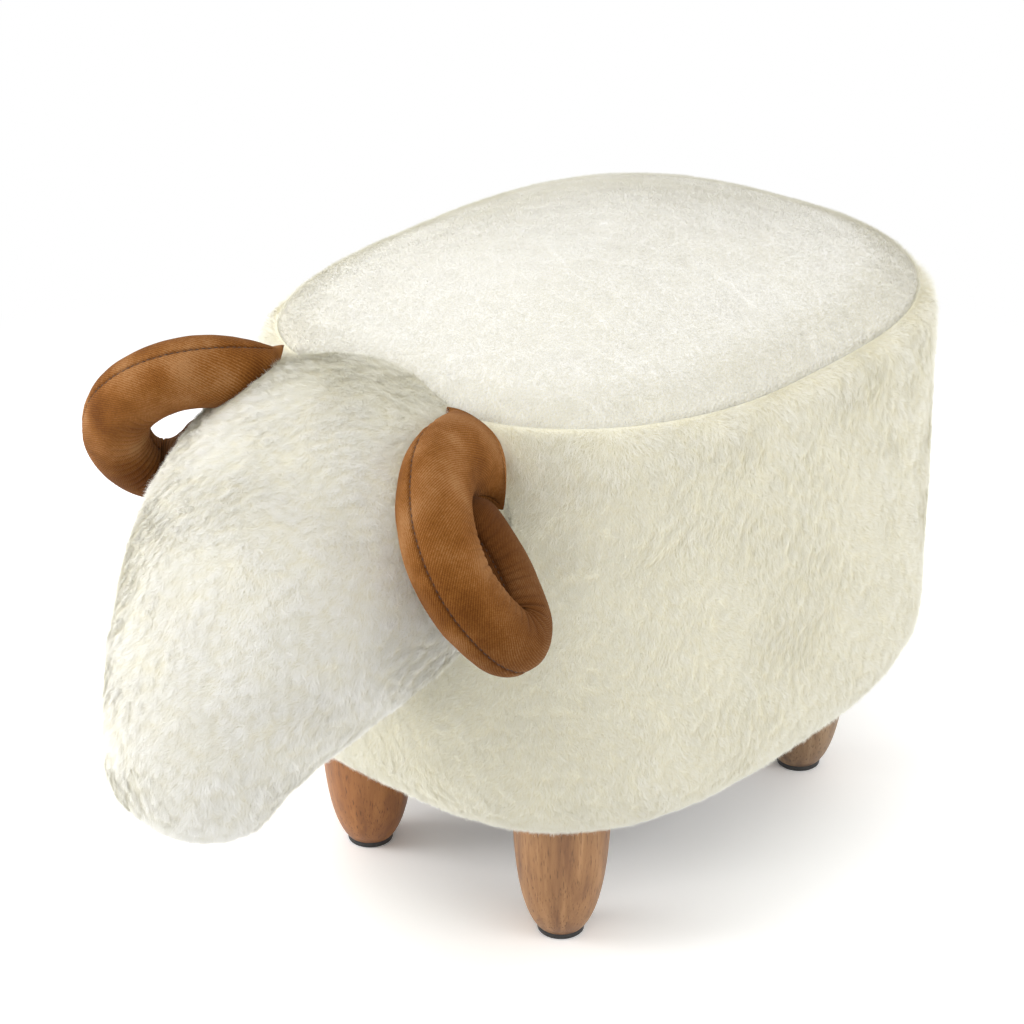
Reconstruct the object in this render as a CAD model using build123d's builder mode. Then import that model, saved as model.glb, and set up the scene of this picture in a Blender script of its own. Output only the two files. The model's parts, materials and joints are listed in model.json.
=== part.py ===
from build123d import *
import os
from math import atan2, cos, degrees, hypot, radians, sin, sqrt

# Ram footstool: an upholstered oval seat body on four turned legs, with a stuffed
# head and two stuffed horns sewn to its front. Lengths in millimetres, +Z up, the
# head towards -Y, the animal's left side towards +X. The origin lies on the floor
# under the middle of the whole stool.

# Body, measured over the cover's backing cloth, without the pile
body_width = 310
body_length = 388
body_bottom = 80
shoulder_height = 303
seam_rise = 31
crown_rise = 39

# How far the head reaches out in front of the body
head_reach = 176.65

# Plan outline: large arcs along the sides and ends, smaller ones round the corners
side_radius = 495
end_radius = 326
corner_radius = 98

# Upholstery
cover_thickness = 5
side_foam_thickness = 19
foam_lip_thickness = 5
bottom_roll_radius = 40
seam_depth = 15.5
rim_depth = 36
hem_width = 34
lining_thickness = 0.8
lining_inset = 44

# Timber frame inside
wall_thickness = 4
wall_joint_gap = 1
splice_width = 70
splice_thickness = 4
base_board_thickness = 12
seat_board_thickness = 12
breather_hole_radius = 6
breather_spacing_x = 84
breather_spacing_y = 56
post_size = 38
post_side_inset = 43
post_end_inset = 33
post_clearance = 1.6
batten_thickness = 18
batten_height = 40

# Countersunk wood screws through both boards into the ends of the posts
screw_spacing = 18
screw_length = 50
screw_radius = 2.2
screw_point_length = 5
screw_head_radius = 4.5
screw_head_height = 3

# Legs with their floor pads, nails, bolts and nuts
leg_side_inset = 53
leg_front_inset = 40
leg_rear_inset = 54
leg_top_radius = 28
leg_foot_radius = 13.5
leg_clearance = 0.5
pad_height = 3.5
pad_edge_round = 0.8
nail_length = 16
nail_radius = 1.2
nail_head_radius = 3
nail_head_height = 1
nail_head_cover = 1
bolt_radius = 4
bolt_in_leg = 34
bolt_above_nut = 3
block_radius = 25
block_thickness = 12
nut_flange_radius = 11
nut_flange_thickness = 1.5
nut_barrel_radius = 5
nut_barrel_length = 9

# Head: oval sections along a drooping line, from the neck inside the body's front
head_run = 202
head_drop = 138
head_width = 212
head_depth = 122
neck_below_seam = 53
neck_setback = 44

# Horns: one fat tube each, bent into a flat curl, swollen along it and tapered to its
# tip, and sewn on at its root
horn_radius = 18
horn_cover_thickness = 1.2
horn_root_length = 38
horn_curl_radius = 50
horn_hook_radius = 17.5
horn_tip_radius = 60
horn_tip_round = 12
horn_curl_angle = 155
horn_hook_angle = 97
horn_tip_angle = 35
left_root_x = 72
left_root_forward = 5
left_root_below_seam = 12
right_root_x = 65.4
right_root_forward = 18
right_root_below_seam = 3

# Worked-out sizes and heights
body_y = head_reach / 2
half_width = body_width / 2
half_length = body_length / 2
front_y = body_y - half_length
wall_inset = cover_thickness + side_foam_thickness
board_inset = wall_inset + wall_thickness
hem_inset = wall_inset + hem_width
board_x = half_width - board_inset
board_y = half_length - board_inset
seam_height = shoulder_height + seam_rise
base_bottom = body_bottom + cover_thickness + foam_lip_thickness
base_top = base_bottom + base_board_thickness
block_top = base_top + block_thickness
seat_top = shoulder_height
seat_bottom = seat_top - seat_board_thickness
lining_bottom = body_bottom - lining_thickness

# Places on the boards. A side post stands next to each leg block, and a post at each end.
leg_x = board_x - leg_side_inset
front_leg_y = body_y - board_y + leg_front_inset
rear_leg_y = body_y + board_y - leg_rear_inset
leg_places = {
    "front_left": (leg_x, front_leg_y),
    "front_right": (-leg_x, front_leg_y),
    "rear_left": (leg_x, rear_leg_y),
    "rear_right": (-leg_x, rear_leg_y),
}
post_x = board_x - post_side_inset
post_step = block_radius + post_clearance + post_size / 2
end_y = board_y - post_end_inset
post_places = {
    "post_front_left": (post_x, front_leg_y + post_step),
    "post_front_right": (-post_x, front_leg_y + post_step),
    "post_rear_left": (post_x, rear_leg_y - post_step),
    "post_rear_right": (-post_x, rear_leg_y - post_step),
    "post_front_end": (0, body_y - end_y),
    "post_rear_end": (0, body_y + end_y),
}


def oval(wide, deep, side, end, corner):
    """Draw a closed oval of eight tangent arcs: two sides, two ends and four corners.

    wide and deep are its half sizes, and side, end and corner are its arcs' radii.
    """
    side_x = wide - side
    end_y = deep - end
    span = hypot(side_x, end_y)
    along = ((side - corner) ** 2 - (end - corner) ** 2 + span**2) / (2 * span)
    across = sqrt((side - corner) ** 2 - along**2)
    corner_x = side_x - (along * side_x + across * end_y) / span
    corner_y = (along * end_y - across * side_x) / span
    side_turn = degrees(atan2(corner_y, corner_x - side_x))
    end_turn = degrees(atan2(corner_y - end_y, corner_x))
    corner_turn = end_turn - side_turn
    with BuildSketch() as shape:
        with BuildLine():
            for sign, turn in ((1, 0), (-1, 180)):
                CenterArc((sign * side_x, 0), side, turn - side_turn, 2 * side_turn)
                CenterArc((sign * corner_x, sign * corner_y), corner, turn + side_turn,
                          corner_turn)
                CenterArc((0, sign * end_y), end, turn + end_turn, 180 - 2 * end_turn)
                CenterArc((-sign * corner_x, sign * corner_y), corner, turn + 180 - end_turn,
                          corner_turn)
        make_face()
    return shape.sketch


def body_plan(inset, share=1):
    """Draw the body's plan outline, drawn in by inset and then scaled by share."""
    return oval((half_width - inset) * share, (half_length - inset) * share,
                (side_radius - inset) * share, (end_radius - inset) * share,
                (corner_radius - inset) * share)


def body_plane(height):
    """Return the level plane through the body's middle at a height."""
    return Plane((0, body_y, height))


# The padded outside, as solids that the covers and the foam are cut from. The band
# rises straight, swells and is drawn in at the seam. The pad swells from the seam,
# rounds over its rim and rises to its crown. In each table the first value is a share
# of a depth, or of the plan's size, and the second is a share of the rise.
band_shares = [(0, 0), (0.1, 0.36), (0.32, 0.68), (0.62, 0.89), (1, 1)]
rim_shares = [(0.37, 0.08), (0.5, 0.19), (0.72, 0.28), (1, 0.37)]
crown_shares = [(0.83, 0.54), (0.65, 0.72), (0.42, 0.9), (0.16, 1)]


def make_band(skin):
    """Make the solid of the side band below the seam, a depth of skin inside its surface."""
    with BuildPart() as band:
        with BuildSketch(body_plane(body_bottom + skin)):
            add(body_plan(skin))
        extrude(amount=shoulder_height - body_bottom - skin)
        fillet(band.edges().group_by(Axis.Z)[0], bottom_roll_radius - skin)
        for inward, up in band_shares:
            with BuildSketch(body_plane(shoulder_height + seam_rise * up)):
                add(body_plan(skin + seam_depth * inward))
        loft()
    return band.part


def make_pad(skin):
    """Make the solid of the seat pad above the seam, a depth of skin inside its surface."""
    rise = crown_rise - skin
    rim = [(skin + rim_depth * inward, 1, up) for inward, up in rim_shares]
    crown = [(skin + rim_depth, share, up) for share, up in crown_shares]
    with BuildPart() as pad:
        for rows in ([(skin + seam_depth, 1, 0), rim[0]], rim, [rim[-1]] + crown):
            for inset, share, up in rows:
                with BuildSketch(body_plane(seam_height + rise * up)):
                    add(body_plan(inset, share))
            loft()
    return pad.part


# Head: each row gives shares of the run forwards and of the drop, then shares of the
# greatest width and depth, then the droop of the head's line there in degrees
head_shares = [
    (0, 0, 1, 1, 0),
    (0.25, 0.04, 1, 1, 8),
    (0.44, 0.14, 0.935, 0.985, 22),
    (0.595, 0.27, 0.81, 1.01, 34),
    (0.752, 0.5, 0.632, 0.9, 46),
    (0.9, 0.717, 0.462, 0.68, 57),
    (0.985, 0.957, 0.255, 0.31, 63),
    (1, 1, 0.13, 0.15, 64),
]
cheek_share = 1.65
brow_share = 1.2
jowl_share = 0.55


def make_head(skin, rows):
    """Make the head's solid through some rows, a depth of skin inside its surface."""
    with BuildPart() as head:
        for run, drop, width, depth, droop in rows:
            wide = head_width / 2 * width - skin
            deep = head_depth / 2 * depth - skin
            middle = (0, front_y + neck_setback - head_run * run, seam_height - neck_below_seam - head_drop * drop)
            ahead = (0, -cos(radians(droop)), -sin(radians(droop)))
            with BuildSketch(Plane(middle, x_dir=(1, 0, 0), z_dir=ahead)):
                add(oval(wide, deep, cheek_share * deep**2 / wide, brow_share * wide**2 / deep,
                         jowl_share * sqrt(wide * deep)))
        loft()
    return head.part


# Horn: shares of its radius at even steps along its curl, from the root to the tip
horn_girth_shares = [0.92, 0.94, 0.97, 1, 1.02, 1.03, 1.04, 1.04, 1.03, 1.02, 1, 0.97, 0.94, 0.91,
                     0.88, 0.86, 0.84]


def disc(radius):
    """Draw a disc of four quarter turns."""
    with BuildSketch() as shape:
        with BuildLine():
            for quarter in range(4):
                CenterArc((0, 0), radius, 90 * quarter, 90)
        make_face()
    return shape.sketch


def make_horn(root, back, across, skin):
    """Make a horn's solid from its root, a depth of skin inside its surface.

    back points from the root into the body, and across is square to the curl's plane.
    """
    with BuildPart() as horn:
        with BuildLine(Plane(root, x_dir=back, z_dir=across)) as curl:
            sewn = Line((horn_root_length, 0), (0, 0))
            bow = JernArc(sewn @ 1, sewn % 1, horn_curl_radius, horn_curl_angle)
            hook = JernArc(bow @ 1, bow % 1, horn_hook_radius, horn_hook_angle)
            tip = JernArc(hook @ 1, hook % 1, horn_tip_radius,
                          horn_tip_angle - degrees(skin / horn_tip_radius))
        for step, girth in enumerate(horn_girth_shares):
            along = step / (len(horn_girth_shares) - 1)
            with BuildSketch(Plane(curl.line @ along, x_dir=across, z_dir=curl.line % along)):
                add(disc(horn_radius * girth - skin))
        loft()
        fillet(horn.faces().sort_by_distance(tip @ 1)[0].edges(), horn_tip_round - skin)
    return horn.part


band_outside = make_band(0)
band_inside = make_band(cover_thickness)
pad_outside = make_pad(0)
pad_inside = make_pad(cover_thickness)
head_outside = make_head(0, head_shares)
head_inside = make_head(cover_thickness, head_shares[:-1])
left_pose = ((left_root_x, front_y - left_root_forward, seam_height - left_root_below_seam),
             (-0.025, 0.917, -0.397), (0.767, 0.272, 0.581))
right_pose = ((-right_root_x, front_y - right_root_forward, seam_height - right_root_below_seam),
              (0.466, 0.777, -0.423), (0.605, -0.629, -0.489))

# A countersunk screw that points down from its head
with BuildPart() as screw:
    with BuildSketch(Plane.XZ):
        with BuildLine():
            Polyline((0, 0), (screw_head_radius, 0), (screw_radius, -screw_head_height),
                     (screw_radius, screw_point_length - screw_length), (0, -screw_length),
                     close=True)
        make_face()
    revolve(axis=Axis.Z)

screw_spots = [(x, y + side * screw_spacing / 2) for x, y in post_places.values()
               for side in (-1, 1)]
with BuildPart() as seat_screws:
    with Locations(*[(x, y, seat_top) for x, y in screw_spots]):
        add(screw.part)

with BuildPart() as base_screws:
    with Locations(*[Location((x, y, base_bottom), (180, 0, 0)) for x, y in screw_spots]):
        add(screw.part)

# Hanger bolts hold the legs, and tee nuts on the blocks above the base board hold them
with BuildPart() as hanger_bolts:
    with BuildSketch(Plane.XY.offset(base_bottom - bolt_in_leg)):
        with Locations(*leg_places.values()):
            Circle(bolt_radius)
    extrude(amount=bolt_in_leg + block_top - base_bottom + nut_flange_thickness + bolt_above_nut)

with BuildPart() as tee_nuts:
    with BuildSketch(Plane.XY.offset(block_top)):
        with Locations(*leg_places.values()):
            Circle(nut_flange_radius)
    extrude(amount=nut_flange_thickness)
    with BuildSketch(Plane.XY.offset(block_top)):
        with Locations(*leg_places.values()):
            Circle(nut_barrel_radius)
    extrude(amount=-nut_barrel_length)
    add(hanger_bolts.part, mode=Mode.SUBTRACT)

# Nails moulded into the floor pads and driven up into the legs
with BuildPart() as pad_nails:
    with BuildSketch(Plane.XY.offset(nail_head_cover)):
        with Locations(*leg_places.values()):
            Circle(nail_head_radius)
    extrude(amount=nail_head_height)
    with BuildSketch(Plane.XY.offset(nail_head_cover + nail_head_height)):
        with Locations(*leg_places.values()):
            Circle(nail_radius)
    extrude(amount=nail_length)

# Boards at the bottom and top of the frame
with BuildPart() as base_board:
    with BuildSketch(body_plane(base_bottom)):
        add(body_plan(board_inset))
    extrude(amount=base_board_thickness)
    add(base_screws.part, mode=Mode.SUBTRACT)
    add(hanger_bolts.part, mode=Mode.SUBTRACT)

with BuildPart() as seat_board:
    with BuildSketch(body_plane(seat_bottom)):
        add(body_plan(board_inset))
        with GridLocations(breather_spacing_x, breather_spacing_y, 2, 2):
            Circle(breather_hole_radius, mode=Mode.SUBTRACT)
    extrude(amount=seat_board_thickness)
    add(seat_screws.part, mode=Mode.SUBTRACT)

# Battens between the side posts, under the seat board
battens = {}
for node, post in (("batten_front", "post_front_left"), ("batten_rear", "post_rear_left")):
    with BuildPart() as batten:
        with BuildSketch(Plane((0, post_places[post][1], seat_bottom))):
            Rectangle(2 * post_x - post_size, batten_thickness)
        extrude(amount=-batten_height)
    battens[node] = batten.part

posts = {}
for node, place in post_places.items():
    with BuildPart() as post:
        with BuildSketch(Plane((*place, base_top))):
            Rectangle(post_size, post_size)
        extrude(amount=seat_bottom - base_top)
        add(seat_screws.part, mode=Mode.SUBTRACT)
        add(base_screws.part, mode=Mode.SUBTRACT)
    posts[node] = post.part

# Hardboard wall bent round both boards, with its joint and splice at the rear
with BuildPart() as side_wall:
    with BuildSketch(body_plane(base_bottom)):
        add(body_plan(wall_inset))
        add(body_plan(board_inset), mode=Mode.SUBTRACT)
        with Locations((0, half_length / 2)):
            Rectangle(wall_joint_gap, half_length, mode=Mode.SUBTRACT)
    extrude(amount=seat_top - base_bottom)

with BuildPart() as wall_splice:
    with BuildSketch(body_plane(base_top)):
        add(body_plan(board_inset))
        add(body_plan(board_inset + splice_thickness), mode=Mode.SUBTRACT)
        with Locations((0, half_length / 2)):
            Rectangle(splice_width, half_length, mode=Mode.INTERSECT)
    extrude(amount=seat_bottom - base_top)

# Room for the legs through the bottom, and for the hem's open middle
with BuildPart() as leg_room:
    with BuildSketch(Plane.XY.offset(lining_bottom)):
        with Locations(*leg_places.values()):
            Circle(leg_top_radius + leg_clearance)
    extrude(amount=base_bottom - lining_bottom)

with BuildPart() as hem_room:
    with BuildSketch(body_plane(body_bottom)):
        add(body_plan(hem_inset))
    extrude(amount=base_bottom - body_bottom)

with BuildPart() as frame_room:
    with BuildSketch(body_plane(base_bottom)):
        add(body_plan(wall_inset))
    extrude(amount=seat_top - base_bottom)

with BuildPart() as lower_half:
    with BuildSketch(body_plane(body_bottom)):
        add(body_plan(0))
    extrude(amount=shoulder_height - body_bottom)

# Foam and covers of the body
with BuildPart() as side_foam:
    add(band_inside)
    add(lower_half.part, mode=Mode.INTERSECT)
    add(frame_room.part, mode=Mode.SUBTRACT)
    add(hem_room.part, mode=Mode.SUBTRACT)
    add(leg_room.part, mode=Mode.SUBTRACT)

with BuildPart() as seat_foam:
    add(band_inside)
    add(lower_half.part, mode=Mode.SUBTRACT)
    add(pad_inside)

with BuildPart() as side_cover:
    add(band_outside)
    add(band_inside, mode=Mode.SUBTRACT)
    add(hem_room.part, mode=Mode.SUBTRACT)
    add(leg_room.part, mode=Mode.SUBTRACT)

with BuildPart() as top_cover:
    add(pad_outside)
    add(pad_inside, mode=Mode.SUBTRACT)

with BuildPart() as bottom_lining:
    with BuildSketch(body_plane(lining_bottom)):
        add(body_plan(lining_inset))
    extrude(amount=lining_thickness)
    add(leg_room.part, mode=Mode.SUBTRACT)

# Head, sewn to the body's front, and horns, sewn to both
with BuildPart() as head_cover:
    add(head_outside)
    add(head_inside, mode=Mode.SUBTRACT)
    add(band_outside, mode=Mode.SUBTRACT)
    add(pad_outside, mode=Mode.SUBTRACT)

with BuildPart() as head_fill:
    add(head_inside)
    add(band_outside, mode=Mode.SUBTRACT)
    add(pad_outside, mode=Mode.SUBTRACT)

horns = {}
for side, pose in (("left", left_pose), ("right", right_pose)):
    horn_inside = make_horn(*pose, horn_cover_thickness)
    with BuildPart() as horn_cover:
        add(make_horn(*pose, 0))
        add(horn_inside, mode=Mode.SUBTRACT)
        add(head_outside, mode=Mode.SUBTRACT)
        add(band_outside, mode=Mode.SUBTRACT)
        add(pad_outside, mode=Mode.SUBTRACT)
    horns[f"horn_{side}_cover"] = horn_cover.part
    with BuildPart() as horn_fill:
        add(horn_inside)
        add(head_outside, mode=Mode.SUBTRACT)
        add(band_outside, mode=Mode.SUBTRACT)
        add(pad_outside, mode=Mode.SUBTRACT)
    horns[f"horn_{side}_fill"] = horn_fill.part

# Legs, turned to a taper that is fuller near the foot than a cone. The shares are of
# the top's radius and of the leg's height above its floor pad.
leg_curve_shares = [(1, 1), (1, 0.54), (0.857, 0.145)]
leg_rise = base_bottom - pad_height
leg_curve = [(leg_top_radius * wide, pad_height + leg_rise * up) for wide, up in leg_curve_shares]
leg_parts = {}
for spot, place in leg_places.items():
    with BuildPart() as leg:
        with BuildSketch(Plane((*place, 0), x_dir=(1, 0, 0), z_dir=(0, -1, 0))):
            with BuildLine():
                Bezier(*leg_curve, (leg_foot_radius, pad_height))
                Polyline((leg_foot_radius, pad_height), (0, pad_height), (0, base_bottom),
                         (leg_top_radius, base_bottom))
            make_face()
        revolve(axis=Axis(place, (0, 0, 1)))
        add(hanger_bolts.part, mode=Mode.SUBTRACT)
        add(pad_nails.part, mode=Mode.SUBTRACT)
    leg_parts[f"leg_{spot}"] = leg.part

    with BuildPart() as foot_pad:
        with BuildSketch(Plane(place)):
            Circle(leg_foot_radius)
        extrude(amount=pad_height)
        fillet(foot_pad.edges().group_by(Axis.Z)[0], pad_edge_round)
        add(pad_nails.part, mode=Mode.SUBTRACT)
    leg_parts[f"foot_pad_{spot}"] = foot_pad.part

    with BuildPart() as leg_block:
        with BuildSketch(Plane((*place, base_top))):
            Circle(block_radius)
        extrude(amount=block_thickness)
        add(hanger_bolts.part, mode=Mode.SUBTRACT)
        add(tee_nuts.part, mode=Mode.SUBTRACT)
    leg_parts[f"leg_block_{spot}"] = leg_block.part

nodes = {
    "base_board": base_board.part,
    "seat_board": seat_board.part,
    "side_wall": side_wall.part,
    "wall_splice": wall_splice.part,
    "side_foam": side_foam.part,
    "seat_foam": seat_foam.part,
    "side_cover": side_cover.part,
    "top_cover": top_cover.part,
    "bottom_lining": bottom_lining.part,
    "head_cover": head_cover.part,
    "head_fill": head_fill.part,
    "hanger_bolts": hanger_bolts.part,
    "tee_nuts": tee_nuts.part,
    "pad_nails": pad_nails.part,
    "seat_screws": seat_screws.part,
    "base_screws": base_screws.part,
    **posts,
    **battens,
    **horns,
    **leg_parts,
}
os.makedirs("parts", exist_ok=True)
for node, piece in nodes.items():
    piece.label = node
    export_step(piece, f"parts/{node}.step")
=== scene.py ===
import json
import math

import bpy
import numpy as np
from mathutils import Matrix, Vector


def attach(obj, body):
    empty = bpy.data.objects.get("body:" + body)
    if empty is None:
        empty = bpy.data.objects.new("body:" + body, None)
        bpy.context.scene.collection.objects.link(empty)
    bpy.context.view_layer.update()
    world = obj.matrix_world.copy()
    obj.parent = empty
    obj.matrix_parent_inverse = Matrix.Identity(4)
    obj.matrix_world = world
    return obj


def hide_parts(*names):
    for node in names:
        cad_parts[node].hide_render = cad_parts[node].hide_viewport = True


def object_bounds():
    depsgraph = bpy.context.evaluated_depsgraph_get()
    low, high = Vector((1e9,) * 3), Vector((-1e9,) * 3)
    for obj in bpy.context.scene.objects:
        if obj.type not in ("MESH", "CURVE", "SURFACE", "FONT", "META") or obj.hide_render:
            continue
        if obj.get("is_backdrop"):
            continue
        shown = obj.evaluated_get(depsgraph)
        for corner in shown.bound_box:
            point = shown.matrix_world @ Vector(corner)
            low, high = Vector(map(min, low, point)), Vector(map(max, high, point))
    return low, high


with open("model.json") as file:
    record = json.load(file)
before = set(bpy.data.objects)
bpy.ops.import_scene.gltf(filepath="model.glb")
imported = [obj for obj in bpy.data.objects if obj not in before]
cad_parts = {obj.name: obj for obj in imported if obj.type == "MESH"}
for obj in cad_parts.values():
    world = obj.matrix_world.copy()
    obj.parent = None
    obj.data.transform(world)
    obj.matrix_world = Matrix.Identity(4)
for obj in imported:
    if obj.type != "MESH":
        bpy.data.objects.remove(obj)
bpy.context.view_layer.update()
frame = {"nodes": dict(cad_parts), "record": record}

# ---------------------------------------------------------------------------------------------
# Camera: a long lens from the front left of the stool, a little above it. Lengths in this file
# are millimetres in the frame of the CAD model, and mm turns them into Blender's metres.
# ---------------------------------------------------------------------------------------------
mm = 0.001
turn, tilt = math.radians(39.962), math.radians(26.265)
right_way = np.array([math.cos(turn), math.sin(turn), 0])
back_way = np.array([math.sin(turn) * math.cos(tilt), -math.cos(turn) * math.cos(tilt), math.sin(tilt)])
up_way = np.cross(back_way, right_way)
aim = right_way * -52.192 + np.array([0, 88.325, 194.018])
camera_place = aim + back_way * 1652.61


def put_object(name, data, ways, place):
    """A lamp or the camera, put in the scene at a place, with the ways of its x, y and z."""
    made = bpy.data.objects.new(name, data)
    made.matrix_world = Matrix([[*row, at * mm] for row, at in zip(np.stack(ways, axis=1), place)]
                               + [[0, 0, 0, 1]])
    bpy.context.scene.collection.objects.link(made)
    return made


lens = bpy.data.cameras.new("camera")
lens.sensor_width, lens.lens = 36, 98.525
bpy.context.scene.camera = put_object("camera", lens, (right_way, up_way, back_way), camera_place)

# ---------------------------------------------------------------------------------------------
# Side cover: a band of cream pile fabric round the oval body, sewn to the top panel under the
# rim and turned in under the base board, where its hem is stapled. This is its backing.
# ---------------------------------------------------------------------------------------------
body_y = 88.325                 # middle of the body along the stool
half_long, half_wide = 194.22, 155.74
front_power, rear_power = 3.008, 2.69
rear_spread = 0.028             # the body is a little wider behind
side_columns = 340
cover_thickness = 3.5
underfur_depth = 2.3            # the short dense fibres at the pile's foot, which fill it


def eased(s):
    """3s^2 - 2s^3, from 0 to 1."""
    s = np.clip(s, 0, 1)
    return s * s * (3 - 2 * s)


def unit(vectors):
    """Vectors made one long."""
    return vectors / np.maximum(np.linalg.norm(vectors, axis=-1, keepdims=True), 1e-9)


def signed_power(value, power):
    """The power of a value's size, with the value's own sign."""
    return np.sign(value) * np.abs(value) ** power


def distance_along(run):
    """How far along a run of points each of them lies."""
    return np.concatenate(([0], np.cumsum(np.linalg.norm(np.diff(run, axis=0), axis=1))))


def along_run(marks, at, field):
    """A field of rows given at some places along a line, read at other places."""
    return np.stack([np.interp(marks, at, column) for column in field.T], axis=1)


def evenly(run, count):
    """The run's points moved along it until they are evenly spaced."""
    length = distance_along(run)
    return along_run(np.linspace(0, length[-1], count), length, run)


def cubic_run(knots, at, marks):
    """A smooth run through knots at some places, read at other places: between two knots a cubic,
    whose end slopes are those of the parabolas through each knot and its neighbours."""
    slope = np.gradient(knots, at, axis=0)
    k = np.clip(np.searchsorted(at, marks) - 1, 0, len(at) - 2)
    h = (at[k + 1] - at[k])[:, None]
    s = (marks - at[k])[:, None] / h
    return ((1 + 2 * s) * (1 - s) ** 2 * knots[k] + s * (1 - s) ** 2 * h * slope[k]
            + s * s * (3 - 2 * s) * knots[k + 1] + s * s * (s - 1) * h * slope[k + 1])


def ring(inset, around):
    """The body's outline seen from above, an inset inside the backing's: a superellipse, with
    x = half width * |cos|^(2/n) and y = half length * |sin|^(2/n), widened towards the rear."""
    power = 2 / np.where(np.sin(around) < 0, front_power, rear_power)
    s, c = np.sin(around), np.cos(around)
    y = (half_long - inset) * signed_power(s, power)
    x = (half_wide - inset) * signed_power(c, power) * (1 + rear_spread * y / half_long)
    return x, y + body_y


def even_angles(columns):
    """Angles at which the ring's points are evenly spaced along the outline."""
    fine = np.linspace(0, 2 * np.pi, 8001)
    length = distance_along(np.stack(ring(0, fine), axis=1))
    return np.interp(np.arange(columns) / columns * length[-1], length, fine)


def normals_of(grid):
    """Unit normals of a grid of points [row, column] that is closed round its columns: the cross
    product of the slopes along the rows and along the columns, pointing out of the rows' rings."""
    across = np.roll(grid, -1, axis=1) - np.roll(grid, 1, axis=1)
    normal = unit(np.cross(across, np.gradient(grid, axis=0)))
    return normal * np.sign((normal * (grid - grid.mean(axis=1, keepdims=True))).sum())


def drift(points, size, seed):
    """Smooth random values from -1 to 1 in space: random values on a cubic lattice of that size,
    blended between the eight corners round each point by 3s^2 - 2s^3."""
    table = np.random.default_rng(seed).uniform(-1, 1, (32, 32, 32))
    cell = np.floor(points / size)
    s = eased(points / size - cell)
    low = cell.astype(int) % 32
    total = 0
    for corner in np.ndindex(2, 2, 2):
        at = (low + corner) % 32
        share = np.prod(np.where(np.array(corner) == 1, s, 1 - s), axis=-1)
        total = total + share * table[at[..., 0], at[..., 1], at[..., 2]]
    return total


def make_piece(name, points, quads, triangles, quad_uv, triangle_uv, material):
    """A mesh object from arrays of points, quads and triangles, with its own UV map."""
    mesh = bpy.data.meshes.new(name)
    corners = np.concatenate((quads.ravel(), triangles.ravel())).astype(np.int32)
    starts = np.concatenate((np.arange(len(quads)) * 4,
                             quads.size + np.arange(len(triangles)) * 3)).astype(np.int32)
    mesh.vertices.add(len(points))
    mesh.vertices.foreach_set("co", (points * mm).astype(np.float32).ravel())
    mesh.loops.add(len(corners))
    mesh.loops.foreach_set("vertex_index", corners)
    mesh.polygons.add(len(starts))
    mesh.polygons.foreach_set("loop_start", starts)
    mesh.polygons.foreach_set("use_smooth", np.ones(len(starts), bool))
    uv = mesh.uv_layers.new(name="OFBake")
    uv.data.foreach_set("uv", np.concatenate((quad_uv.reshape(-1, 2), triangle_uv.reshape(-1, 2)))
                        .astype(np.float32).ravel())
    mesh.update(calc_edges=True)
    mesh.validate()
    mesh.materials.append(material)
    piece = bpy.data.objects.new(name, mesh)
    bpy.context.scene.collection.objects.link(piece)
    return piece


def grid_piece(name, grid, material, ring_shut=False):
    """A closed skin from points [row, column], closed round the columns. Its rows meet too where
    ring_shut, and otherwise each end row is shut by a fan of triangles round its middle."""
    rows, columns = grid.shape[:2]
    r, c = np.meshgrid(np.arange(rows if ring_shut else rows - 1), np.arange(columns), indexing="ij")
    r, c = r.ravel(), c.ravel()
    r2, c2 = (r + 1) % rows, (c + 1) % columns
    quads = np.stack([r * columns + c, r * columns + c2, r2 * columns + c2, r2 * columns + c], axis=1)
    u, v, du, dv = c / columns, r / rows, 1 / columns, 1 / rows
    quad_uv = np.stack([np.stack([u, v], 1), np.stack([u + du, v], 1),
                        np.stack([u + du, v + dv], 1), np.stack([u, v + dv], 1)], axis=1)
    points = grid.reshape(-1, 3)
    triangles, triangle_uv = np.zeros((0, 3), int), np.zeros((0, 3, 2))
    if not ring_shut:
        points = np.concatenate((points, grid[[0, -1]].mean(axis=1)))
        c = np.arange(columns)
        c2 = (c + 1) % columns
        first = np.stack([c2, c, np.full(columns, rows * columns)], axis=1)
        top = (rows - 1) * columns
        last = np.stack([top + c, top + c2, np.full(columns, rows * columns + 1)], axis=1)
        triangles = np.concatenate((first, last))
        near, far, mid = c / columns, (c + 1) / columns, (c + 0.5) / columns
        edge = (rows - 1) / rows
        fans = (((far, 0), (near, 0), (mid, 0)), ((near, edge), (far, edge), (mid, 1)))
        triangle_uv = np.concatenate([np.stack([np.stack([u, v + 0 * c], 1) for u, v in fan], 1)
                                      for fan in fans])
    a, b, d = points[quads[:, 0]], points[quads[:, 1]], points[quads[:, 2]]
    if np.einsum("ij,ij->", a, np.cross(b, d)) < 0:        # the faces point inwards
        quads, quad_uv = quads[:, ::-1], quad_uv[:, ::-1]
        triangles, triangle_uv = triangles[:, ::-1], triangle_uv[:, ::-1]
    return make_piece(name, points, quads, triangles, quad_uv, triangle_uv, material)


def new_material(name, roughness, **sockets):
    """A material, its node tree and its Principled BSDF, whose constants stand on its own sockets."""
    material = bpy.data.materials.new(name)
    material.use_nodes = True
    shader = material.node_tree.nodes["Principled BSDF"]
    shader.inputs["Roughness"].default_value = roughness
    for socket, value in sockets.items():
        shader.inputs[socket.replace("_", " ")].default_value = value
    return material, material.node_tree, shader


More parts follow.
